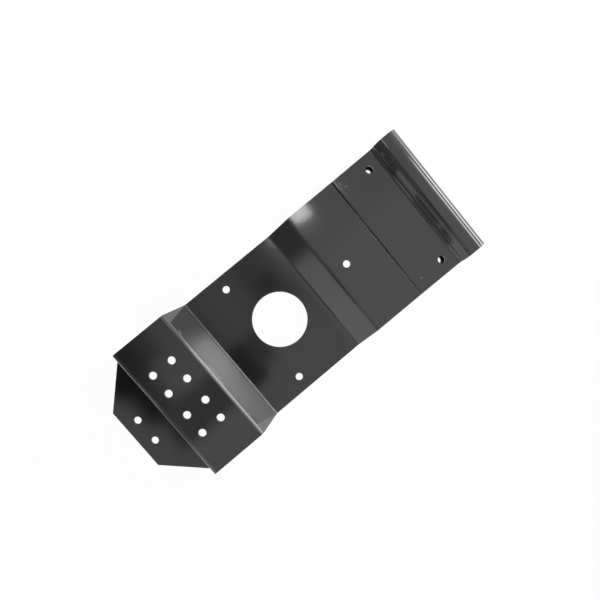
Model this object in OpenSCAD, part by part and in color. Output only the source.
// License plate light bracket: one strip of sheet steel, folded across its width.
// X runs along the strip from the tab to the rolled eye, Y across it, Z up.
// The tab, the lamp plate and the free edge of the eye's flange stand on the plane Z = 0.

/* [Sheet] */
// Thickness of the steel sheet
sheet_t = 2; // [1.5:0.1:3]
// Width of the strip
strip_w = 138; // [132:0.5:150]
// Inside radius of the sharp bends beside the raised plate
sharp_r = 2; // [1:0.5:3]
// Inside radius of the soft bends of the ramp
soft_r = 4; // [2:0.5:8]
// Diameter of every screw hole, which clears a 1/4 inch or 6 mm screw
screw_d = 7.1; // [5:0.1:9]

/* [Tab] */
// Length of the flat tab from its free end to its bend
tab_l = 36.6; // [30:0.1:50]
// Size of the two 45 degree cuts that narrow the tab
tab_cut = 36.1; // [10:0.1:36.6]
// Distance from the tab's free end to its two holes
tab_hole_x = 13.2; // [8:0.1:20]
// Distance between the tab's two holes
tab_hole_gap = 25.4; // [15:0.1:45]

/* [Raised plate] */
// Height of the raised plate above the tab and the lamp plate
raised_h = 36; // [20:0.5:60]
// Flat length of the raised plate between its bends
raised_l = 50; // [44:0.1:70]
// Slope of the wall between the tab and the raised plate
tab_wall_angle = 75.1; // [60:0.1:85]
// Slope of the wall between the raised plate and the lamp plate
lamp_wall_angle = 67.2; // [60:0.1:85]
// Distance from the raised plate's flat start to its first row of holes
raised_hole_x = 12.5; // [8:0.1:18]
// Distance between the two rows of holes, and between the two holes of a pair
square_gap = 20.9; // [15:0.1:24]
// Distance between the two squares of holes, from inner hole to inner hole
square_apart = 24.8; // [15:0.1:50]

/* [Lamp plate] */
// Flat length of the lamp plate between its bends
lamp_l = 102.7; // [95:0.1:130]
// Diameter of the lamp's hole
lamp_d = 54; // [40:0.5:64]
// Distance from the lamp plate's flat start to the middle of the lamp's hole
lamp_x = 59.8; // [52:0.1:65]
// Distance of the two screw holes behind the middle of the lamp's hole
lamp_screw_back = 21.4; // [10:0.1:25]
// Distance between the two screw holes beside the lamp
lamp_screw_gap = 110.6; // [90:0.1:116]

/* [Ramp plates] */
// Slope of the ramp up from the lamp plate
ramp_angle = 24.6; // [18:0.1:40]
// Flat length of the step plate above the ramp
step_l = 54; // [40:0.1:70]
// Slope of the step plate
step_slope = 1.8; // [0:0.05:3]
// Distance from the step plate's flat start to its one hole
step_hole_x = 16.1; // [10:0.1:30]
// Flat length of the clamp plate between its slight bend and the eye
clamp_l = 46.5; // [42:0.1:60]
// Slope of the clamp plate and of the flange beneath it
clamp_slope = 3.85; // [3.1:0.05:5]
// Distance from the clamp plate's flat start to its two holes
clamp_hole_x = 35.6; // [28:0.1:38]
// Distance between the clamp plate's two holes
clamp_hole_gap = 110.6; // [90:0.1:116]

/* [Rolled eye] */
// Inside diameter of the eye
eye_d = 19.5; // [16:0.1:26]
// Height of the eye's top above the clamp plate
eye_rise = 8.3; // [4:0.1:10]
// Length of the flat stretch on top of the eye
eye_flat = 5.8; // [1:0.1:20]
// Slope of the curl that climbs from the clamp plate to the eye
curl_angle = 61.55; // [58:0.05:75]
// Distance from the clamp holes to the flange's free edge
flange_edge = 18; // [10:0.5:24]

/* [Hidden] */
$fn = 120;
paint = [0.12, 0.12, 0.125];

// Radii of the bends at the middle of the sheet
sharp_mid = sharp_r + sheet_t / 2;
soft_mid = soft_r + sheet_t / 2;
eye_mid = (eye_d + sheet_t) / 2;
curl_mid = eye_rise / (1 - cos(curl_angle)) - eye_mid;

// Flat lengths of the two walls, which climb to the same height
tab_wall_l = (raised_h - 2 * sharp_mid * (1 - cos(tab_wall_angle))) / sin(tab_wall_angle);
lamp_wall_l = (raised_h - 2 * sharp_mid * (1 - cos(lamp_wall_angle))) / sin(lamp_wall_angle);

// Flange below the clamp plate, along the clamp plate's own slope
curl_run = (curl_mid + eye_mid) * sin(curl_angle);
eye_x = clamp_l + curl_run + eye_flat;
flange_end_x = clamp_hole_x - flange_edge;
flange_l = eye_x - flange_end_x;
flange_drop = 2 * eye_mid - eye_rise;

// Height of the clamp plate's start that puts the flange's free edge on Z = 0
clamp_z = (flange_drop + sheet_t / 2) * cos(clamp_slope) - flange_end_x * sin(clamp_slope);
ramp_rise = clamp_z - sheet_t / 2 - step_l * sin(step_slope)
    - bend_rise(soft_mid, 0, ramp_angle) - bend_rise(soft_mid, step_slope, ramp_angle)
    - bend_rise(soft_mid, step_slope, clamp_slope);
ramp_l = ramp_rise / sin(ramp_angle);

// Length of the whole bracket along X
clamp_x = tab_l + tab_wall_l * cos(tab_wall_angle) + 2 * bend_run(sharp_mid, 0, tab_wall_angle)
    + raised_l + lamp_wall_l * cos(lamp_wall_angle) + 2 * bend_run(sharp_mid, 0, lamp_wall_angle)
    + lamp_l + ramp_l * cos(ramp_angle) + bend_run(soft_mid, 0, ramp_angle)
    + bend_run(soft_mid, step_slope, ramp_angle) + step_l * cos(step_slope)
    + bend_run(soft_mid, step_slope, clamp_slope);
total_l = clamp_x + eye_x * cos(clamp_slope) - (eye_rise - eye_mid) * sin(clamp_slope)
    + eye_mid + sheet_t / 2;

// The strip is folded a little wide, and its two edges are then trimmed straight
trim = 1;
fold_w = strip_w + 2 * trim;

// Rise and run of a bend between two slopes
function bend_rise(r, from, to) = r * (cos(from) - cos(to));
function bend_run(r, from, to) = r * (sin(to) - sin(from));

// Hole places as [along the flat, across the strip, diameter]
tab_holes = [for (s = [-1, 1]) [tab_hole_x, s * tab_hole_gap / 2, screw_d]];
raised_holes = [for (row = [0, 1], s = [-1, 1], pair = [0, 1])
    [raised_hole_x + row * square_gap, s * (square_apart / 2 + pair * square_gap), screw_d]];
lamp_holes = concat([[lamp_x, 0, lamp_d]],
    [for (s = [-1, 1]) [lamp_x - lamp_screw_back, s * lamp_screw_gap / 2, screw_d]]);
step_holes = [[step_hole_x, 0, screw_d]];
clamp_holes = [for (s = [-1, 1]) [clamp_hole_x, s * clamp_hole_gap / 2, screw_d]];
flange_holes = [for (h = clamp_holes) [eye_x - h[0], h[1], h[2]]];

// One flat stretch with its holes; what follows it is drawn from its far end
module flat(length, holes = []) {
    difference() {
        translate([0, -fold_w / 2, -sheet_t / 2]) cube([length, fold_w, sheet_t]);
        for (h = holes)
            translate([h[0], h[1], -sheet_t]) cylinder(d = h[2], h = 2 * sheet_t);
    }
    translate([length, 0, 0]) children();
}

// One bend, upward where the angle is positive; what follows it is drawn from its far end
module bend(angle, r) {
    up = sign(angle);
    translate([0, 0, up * r]) {
        difference() {
            rotate([90, 0, 0]) cylinder(r = r + sheet_t / 2, h = fold_w, center = true);
            rotate([90, 0, 0]) cylinder(r = r - sheet_t / 2, h = 2 * fold_w, center = true);
            beyond(-4 * r, r);
            rotate([0, -angle, 0]) beyond(0, r);
        }
        rotate([0, -angle, 0]) translate([0, 0, -up * r]) children();
    }
}

// Block that takes away the part of a ring that a bend doesn't turn through
module beyond(x, r) {
    translate([x, -fold_w, -2 * r]) cube([4 * r, 2 * fold_w, 4 * r]);
}

// One of the two 45 degree cuts beside the tab
module tab_corner() {
    linear_extrude(2 * sheet_t, center = true)
        polygon([[-trim, strip_w / 2 - tab_cut - trim], [tab_cut + trim, strip_w / 2 + trim],
            [-trim, strip_w / 2 + trim]]);
}

// The folded strip, from the tab's free end to the flange's free edge
module folded_strip() {
    flat(tab_l, tab_holes)
    bend(tab_wall_angle, sharp_mid) flat(tab_wall_l) bend(-tab_wall_angle, sharp_mid)
    flat(raised_l, raised_holes)
    bend(-lamp_wall_angle, sharp_mid) flat(lamp_wall_l) bend(lamp_wall_angle, sharp_mid)
    flat(lamp_l, lamp_holes)
    bend(ramp_angle, soft_mid) flat(ramp_l) bend(step_slope - ramp_angle, soft_mid)
    flat(step_l, step_holes)
    bend(clamp_slope - step_slope, soft_mid)
    flat(clamp_l, clamp_holes)
    bend(curl_angle, curl_mid) bend(-curl_angle, eye_mid)
    flat(eye_flat)
    bend(-180, eye_mid)
    flat(flange_l, flange_holes);
}

module bracket() {
    color(paint) translate([-total_l / 2, 0, sheet_t / 2])
        difference() {
            intersection() {
                folded_strip();
                translate([-trim, -strip_w / 2, -raised_h]) cube([total_l + 2 * trim, strip_w, 3 * raised_h]);
            }
            for (side = [0, 1]) mirror([0, side, 0]) tab_corner();
        }
}

bracket();
